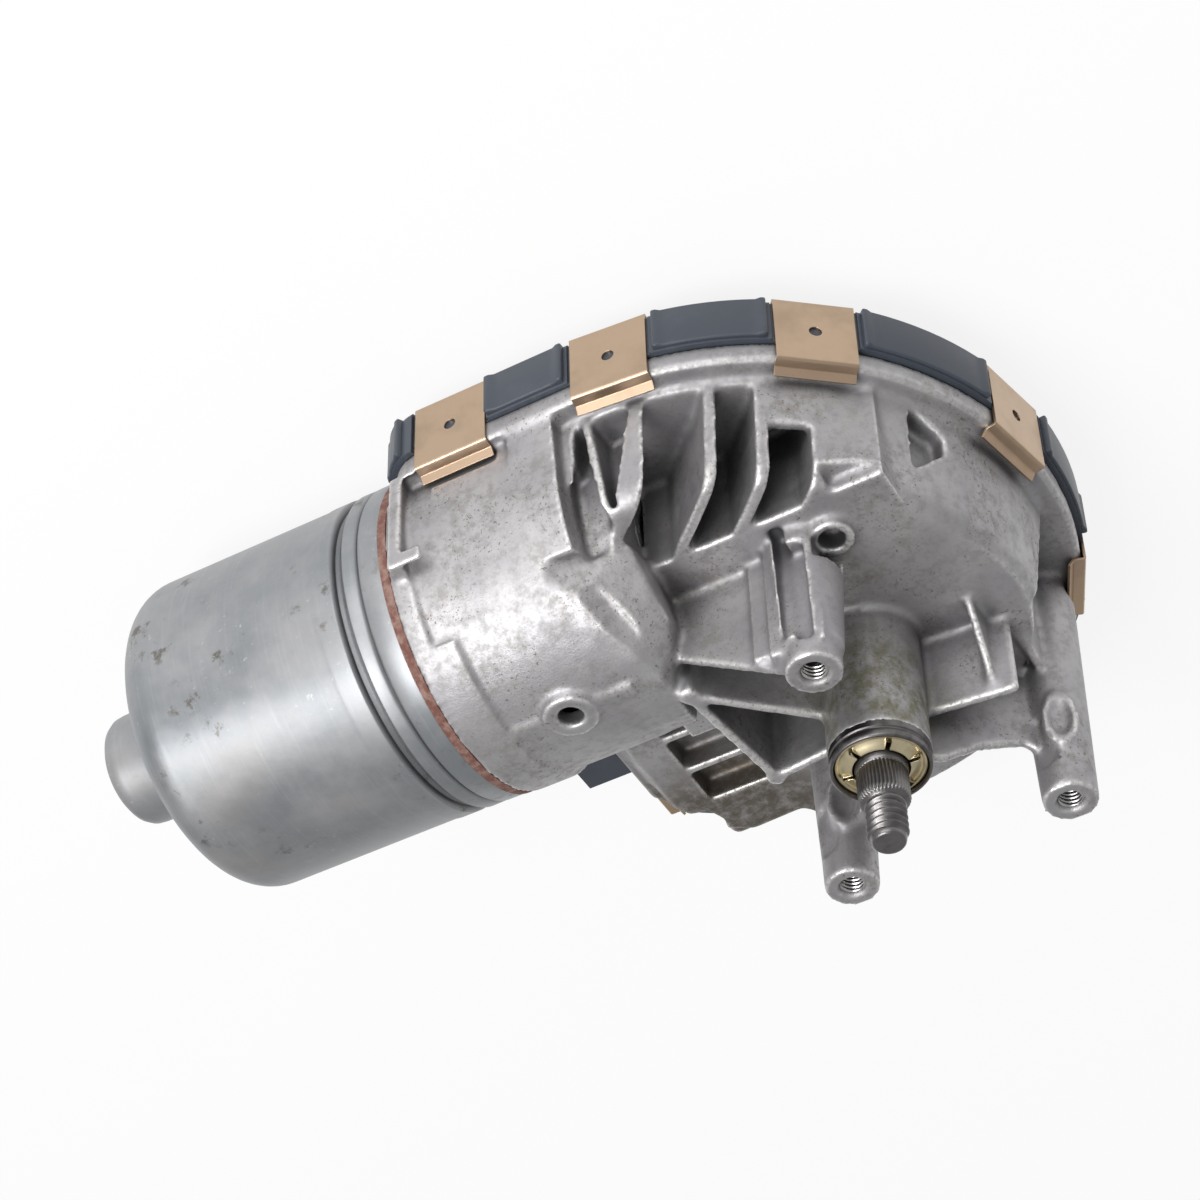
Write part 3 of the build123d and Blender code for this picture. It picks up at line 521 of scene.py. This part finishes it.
# ------------------------------------------------------------------ motor can
def motor_can():
    """The drawn steel can: rounded rear boss, wide shoulder, a faint step, and grooves behind its mouth."""
    rear, mouth, shoulder = can_rear, can_mouth, can_shoulder
    rows = [(-169.4, 0.5), (-169.4, 9.0), (-169.1, 10.7), (-168.2, 12.0), (-166.8, 12.8), (-165.0, 13.0)]
    rows += [(-152.6, 13.15), (-151.0, 13.6), (-150.0, 14.6), (rear, 16.4)]
    rows.append((rear, can_radius - shoulder - 1.5))
    for step in range(13):
        turn = pi / 2 * step / 12
        rows.append((rear + shoulder * (1 - cos(turn)), can_radius - 0.2 - shoulder * (1 - sin(turn))))
    groove = [(-98.0, -0.2), (-97.0, -0.05), (-96.4, 0.0), (-92.3, 0.0), (-91.9, -0.35), (-91.5, -1.4)]
    groove += [(-90.6, -1.7), (-89.6, -1.4), (-89.3, -0.2), (-89.0, 0.1), (-86.4, 0.05), (-86.0, -0.15)]
    groove += [(-85.6, -0.6), (-85.2, -0.15), (-84.8, 0.1), (-80.4, 0.15), (-79.5, 0.05)]
    groove += [(mouth, -0.3), (mouth, -0.6), (-80.0, -0.7), (-80.0, -can_wall)]
    rows += [(place, can_radius + change) for place, change in groove]
    inner = can_radius - can_wall
    rows += [(rear + shoulder, inner), (rear + can_wall + 0.5, inner - 7.0), (rear + can_wall, 11.5)]
    rows += [(-166.4, 11.0), (-166.4, 0.5)]
    mesh = turned_mesh("motor_can", rows, 256)
    along_x = Matrix.Rotation(pi / 2, 4, "Y")
    mesh.transform(Matrix.Translation((0, can_axis_y * MM, can_axis_z * MM)) @ along_x)
    weld(mesh)
    shade(mesh, 35)
    return new_piece("motor_can", mesh, "zinc_steel", "housing", "pole_housing")


# ------------------------------------------------------------------ solids for the casting
def solid(faces_from):
    """A mesh made by a function that fills a bmesh with points in mm."""
    work = bmesh.new()
    faces_from(work)
    bmesh.ops.recalc_face_normals(work, faces=work.faces)
    bmesh.ops.scale(work, vec=(MM, MM, MM), verts=work.verts)
    mesh = bpy.data.meshes.new("solid")
    work.to_mesh(mesh)
    work.free()
    return mesh


def hull(points):
    """The smallest convex solid round some points."""

    def fill(work):
        for point in points:
            work.verts.new(point)
        made = bmesh.ops.convex_hull(work, input=work.verts)
        bmesh.ops.delete(work, geom=made["geom_interior"], context="VERTS")

    return solid(fill)


def prism(low, high):
    """A solid between two outlines with as many corners."""

    def fill(work):
        rings = [[work.verts.new(point) for point in outline] for outline in (low, high)]
        work.faces.new(rings[0])
        work.faces.new(rings[1])
        for index, corner in enumerate(rings[0]):
            work.faces.new((rings[0][index - 1], corner, rings[1][index], rings[1][index - 1]))

    return solid(fill)


def x_prism(outline, low, high):
    """A solid along x from an outline of y and z."""
    return prism([(low, *point) for point in outline], [(high, *point) for point in outline])


def z_prism(outline, low, high):
    """An upright solid from an outline of x and y."""
    return prism([(*point, low) for point in outline], [(*point, high) for point in outline])


def upright(x, y, radius, low, high, columns=40):
    """An upright round solid."""
    turns = [2 * pi * column / columns for column in range(columns)]
    return z_prism([(x + radius * cos(turn), y + radius * sin(turn)) for turn in turns], low, high)


def around_can(radius, angle):
    """The y and z of a point round the can's axis, at an angle up from y."""
    turn = radians(angle)
    return can_axis_y + radius * cos(turn), can_axis_z + radius * sin(turn)


def flank():
    """The throat's wall towards the cover, drafted flat below and round above, up to the first rib."""
    outline = [(50, -66.4), (70.6, -66.4), (69.0, -54.7)]
    outline += [around_can(flank_radius, angle) for angle in range(6, 37, 6)]
    outline.append((50, -40.0))
    return x_prism(outline, -48.0, -37.2)


def wheel_space_wall():
    """The wall and roof that close the space of the worm wheel behind the first rib pocket."""
    turns = [radians(angle) for angle in range(194, 229, 2)]
    inner, foot, top = (
        [(radius * cos(turn), radius * sin(turn)) for turn in turns]
        for radius in (wheel_wall_inside, wheel_wall_foot, wheel_wall_top)
    )
    back = inner[::-1]
    foot_outline = [(*point, wheel_wall_low) for point in foot + back]
    wall = prism(foot_outline, [(*point, wheel_roof_high) for point in top + back])
    roof = z_prism([*top, (-24.5, -25.6), (-24.5, -8.6)], wheel_roof_low, wheel_roof_high)
    return wall, roof


def nose():
    """The facets that lead from the throat's slanting end to the fins and the first web."""
    rim = [(-44.0, 59.2, -30.6), (-39.6, 55.8, -27.2), (-36.7, 48.8, -22.7), (-34.9, 40.3, -19.9)]
    rim += [(-33.2, 33.0, -19.0), (-33.2, 26.6, -19.6), (-35.0, 17.1, -22.6), (-37.5, 8.0, -28.9)]
    back = []
    for y in (59, 52, 45, 38, 31, 24, 17, 8):
        back.append((-46.0, y, can_axis_z + sqrt(flank_radius**2 - (y - can_axis_y) ** 2)))
    ridge = [(-33.8, 51.6, -30.6), (-32.6, 45.0, -25.6)]
    foot = [(-29.0, 53.0, -39.6), (-28.4, 49.6, -35.4), (-27.9, 45.6, -29.6), (-26.6, 41.0, -27.0)]
    inside = [(-46.0, 50.0, -44.0), (-30.0, 40.0, -44.0), (-31.0, 20.0, -36.0), (-46.0, 10.0, -44.0)]
    return hull(rim + back + ridge + foot + inside)


def collar_step():
    """What the collar lacks above its step: it is narrower there than below."""
    outline = [around_can(40.0, angle) for angle in range(-18, 49, 6)]
    outline += [around_can(36.1, angle) for angle in range(48, -19, -6)]
    return x_prism(outline, -73.3, -67.2)


def nose_channel():
    """A shallow channel beside the throat's slanting end."""
    edges = [(-40.2, 57.2, -28.2), (-34.9, 41.5, -19.9), (-33.0, 56.0, -30.0), (-31.0, 43.5, -22.2)]
    bottom = [(-36.8, 53.9, -30.0), (-32.6, 42.4, -23.4)]
    raised = [(x - 0.5, y + 1.5, z + 3.5) for x, y, z in edges]
    return hull(edges + bottom + raised)


def gate_oval(post, height, ends):
    """An oval solid out of a post's side: ends holds the distance of each end and its share of the size."""
    turn_out = radians(gate_angle)
    out = Vector((cos(turn_out), sin(turn_out), 0))
    side = Vector((-out.y, out.x, 0))
    centre = Vector((*post, height))
    outlines = []
    for depth, share in ends:
        outline = []
        for step in range(24):
            turn = 2 * pi * step / 24
            across = side * (gate_half_width * share * cos(turn))
            along = Vector((0, 0, gate_half_height * share * sin(turn)))
            outline.append(centre + out * depth + across + along)
        outlines.append(outline)
    return prism(*outlines)


def cut(piece, meshes):
    """Take solids away from a piece."""
    cutters = []
    for mesh in meshes:
        cutter = bpy.data.objects.new("cutter", mesh)
        scene.collection.objects.link(cutter)
        change = piece.modifiers.new("cut", "BOOLEAN")
        change.operation = "DIFFERENCE"
        change.solver = "EXACT"
        change.object = cutter
        cutters.append(cutter)
    settle(piece)
    for cutter in cutters:
        bpy.data.objects.remove(cutter)


def join(piece, meshes):
    """Add solids to a piece's mesh, to be united when it is remeshed."""
    work = bmesh.new()
    work.from_mesh(piece.data)
    for mesh in meshes:
        work.from_mesh(mesh)
    work.to_mesh(piece.data)
    work.free()


def remesh(piece):
    """Replace a piece's mesh by an even, closed one."""
    change = piece.modifiers.new("remesh", "REMESH")
    change.mode = "VOXEL"
    change.voxel_size = casting_voxel
    return settle(piece)


# ------------------------------------------------------------------ gear housing
def casting():
    """The housing with a die casting's soft corners: the CAD shape with its last details, remeshed."""
    body = nodes["gear_housing"].data.copy()
    piece = new_piece("housing_casting", body, "cast_aluminium", "housing", "gear_housing")
    corner_low = [(*point, flange_bottom) for point in flange_corner]
    corner_high = [(x + 5.1, y + 12.1, -59.0) for x, y in flange_corner]
    cut(piece, [prism(corner_low, corner_high), upright(*old_boss, 5.2, -40.4, -37.0)])
    raised = [
        flank(),
        nose(),
        z_prism(slot_back, -41.0, -10.6),
        upright(*screw_boss, screw_boss_radius, -46.0, screw_boss_top),
        upright(*old_boss, 4.4, -45.0, -40.4),
    ]
    raised += [gate_oval(post, height, ((4.0, 1.0), (7.1, 1.0))) for post, height in gate_marks]
    join(piece, [*raised, *wheel_space_wall(), upright(0, 0, boss_end_radius, -11.0, -7.5, 72)])
    remesh(piece)
    sunk = [
        upright(*screw_boss, screw_bore_radius, -43.5, -37.0),
        upright(*screw_boss, screw_boss_radius, -37.9, -32.5),
        upright(0, 0, 9.9, -8.9, -7.0, 72),
        nose_channel(),
        collar_step(),
    ]
    cut(piece, sunk + [gate_oval(post, height, ((5.8, 0.45), (7.6, 0.8))) for post, height in gate_marks])
    remesh(piece)
    relax = piece.modifiers.new("relax", "SMOOTH")
    relax.factor = 0.5
    relax.iterations = 5
    shade(settle(piece))
    dress(piece, "cast_aluminium")
    return piece


def post_thread(name, x, y, length):
    """The thread cut in a post's bore: a lining that is sunk in the bore's wall."""
    high = post_top - 1.0
    low = high - length
    steps = int(length / 0.125)
    rows = []
    for step in range(steps + 1):
        height = low + (high - low) * step / steps
        crest = post_thread_outer - 0.15
        rows.append((height, thread_radius(height, crest, post_thread_depth, post_thread_pitch)))
    rows += [(high, post_thread_outer + 0.2), (low, post_thread_outer + 0.2), rows[0]]
    mesh = turned_mesh(name, rows[::-1], 72, close_ends=False)
    mesh.transform(Matrix.Translation((x * MM, y * MM, 0)))
    weld(mesh)
    shade(mesh, 40)
    piece = new_piece(name, mesh, "cast_aluminium", "housing")
    dress(piece, "bright_cut")


# ------------------------------------------------------------------ cover and clips
def cover_pads():
    """The raised pads of the cover's skirt between the clips, each with a lip at both ends."""
    tree = BVHTree.FromObject(nodes["electronics_cover"], bpy.context.evaluated_depsgraph_get())
    centre = Vector((*cover_centre, (pad_low + pad_high) / 2)) * MM
    beyond = 130 * MM
    for number, (start, end) in enumerate(pad_spans):
        work = bmesh.new()
        steps = max(8, int((end - start) / 0.8))
        rings = []
        for step in range(steps + 1):
            angle = radians(start + (end - start) * step / steps)
            out = Vector((cos(angle), sin(angle), 0))
            spot = tree.ray_cast(centre + out * beyond, -out)[0]
            lip = pad_lip if step in (0, 1, steps - 1, steps) else 0.0
            front = pad_proud + lip
            ring = []
            corners = ((-pad_sunk, pad_low), (front, pad_low), (front, pad_high), (-pad_sunk, pad_high))
            for depth, height in corners:
                place = spot + out * depth * MM
                ring.append(work.verts.new((place.x, place.y, height * MM)))
            rings.append(ring)
        for near, far in zip(rings, rings[1:]):
            for corner in range(4):
                work.faces.new((near[corner - 1], near[corner], far[corner], far[corner - 1]))
        work.faces.new(rings[0])
        work.faces.new(rings[-1][::-1])
        bmesh.ops.recalc_face_normals(work, faces=work.faces)
        mesh = bpy.data.meshes.new("cover_pad")
        work.to_mesh(mesh)
        work.free()
        piece = new_piece(f"cover_pad_{number + 1}", mesh, "cover_plastic", "housing")
        bevel = piece.modifiers.new("round", "BEVEL")
        bevel.width = pad_round * MM
        bevel.segments = 3
        bevel.limit_method = "ANGLE"
        bevel.angle_limit = radians(35)
        shade(settle(piece), 40)
        dress(piece, "cover_plastic")


def spring_clips():
    """The clips, with the left one's hook brought down to the flange's sloped corner."""
    mesh = nodes["cover_clips"].data.copy()
    for vert in mesh.vertices:
        x, y, z = vert.co / MM
        if x < left_clip_x and left_clip_y[0] < y < left_clip_y[1]:
            vert.co.y += left_clip_shift * MM
            if z > clip_hook_low:
                vert.co.z -= left_hook_drop * MM
    return new_piece("spring_clips", mesh, "clip_bronze", "housing", "cover_clips")


shaft_end()
star_washer()
seal_ring()
motor_can()
cover_pads()
spring_clips()
casting()
for name, place in post_threads.items():
    post_thread(name, *place)


# ------------------------------------------------------------------ floor, lights and camera
floor_z = cad_box[0][2]
floor_reach = 3.0
floor_mesh = bpy.data.meshes.new("floor")
corners = [(x * floor_reach, y * floor_reach, floor_z) for x, y in ((-1, -1), (1, -1), (1, 1), (-1, 1))]
floor_mesh.from_pydata(corners, [], [(0, 1, 2, 3)])
floor = bpy.data.objects.new("floor", floor_mesh)
scene.collection.objects.link(floor)
paper = Shader("paper")
paper.bsdf.inputs["Base Color"].default_value = (0.86, 0.86, 0.86, 1)
paper.bsdf.inputs["Roughness"].default_value = 0.9
glow = paper.node("ShaderNodeEmission")
glow.inputs["Strength"].default_value = 1.0
mix = paper.node("ShaderNodeMixShader")
path = paper.node("ShaderNodeLightPath")
seen = paper.math("MAXIMUM", path.outputs["Is Camera Ray"], path.outputs["Is Glossy Ray"])
paper.link(paper.times(seen, 0.85), mix.inputs[0])
paper.link(paper.bsdf.outputs[0], mix.inputs[1])
paper.link(glow.outputs[0], mix.inputs[2])
paper.link(mix.outputs[0], paper.tree.nodes["Material Output"].inputs["Surface"])
floor_mesh.materials.append(paper.material)

world = bpy.data.worlds.new("studio")
world.use_nodes = True
world.node_tree.nodes["Background"].inputs["Color"].default_value = (1.0, 1.0, 1.0, 1)
world.node_tree.nodes["Background"].inputs["Strength"].default_value = 0.46
scene.world = world


def softbox(name, place, aim, size, watts):
    data = bpy.data.lights.new(name, "AREA")
    data.shape = "RECTANGLE"
    data.size, data.size_y = size
    data.energy = watts
    lamp = bpy.data.objects.new(name, data)
    lamp.location = place
    lamp.rotation_euler = (Vector(aim) - Vector(place)).to_track_quat("-Z", "Y").to_euler()
    scene.collection.objects.link(lamp)


softbox("key", (-0.35, 0.75, 0.85), (-0.03, 0.02, -0.05), (0.8, 0.5), 12.0)
softbox("fill", (0.1, 1.0, 0.05), (-0.02, 0.02, -0.05), (1.0, 0.4), 4.0)

camera_data = bpy.data.cameras.new("camera")
camera_data.lens = 99.97
camera_data.sensor_width = 36.0
camera = bpy.data.objects.new("camera", camera_data)
camera.location = (0.1956, 0.48159, 0.44924)
camera.rotation_euler = [radians(angle) for angle in (-45.666, -1.25, -29.611)]
scene.collection.objects.link(camera)
scene.camera = camera
scene.view_settings.view_transform = "Standard"
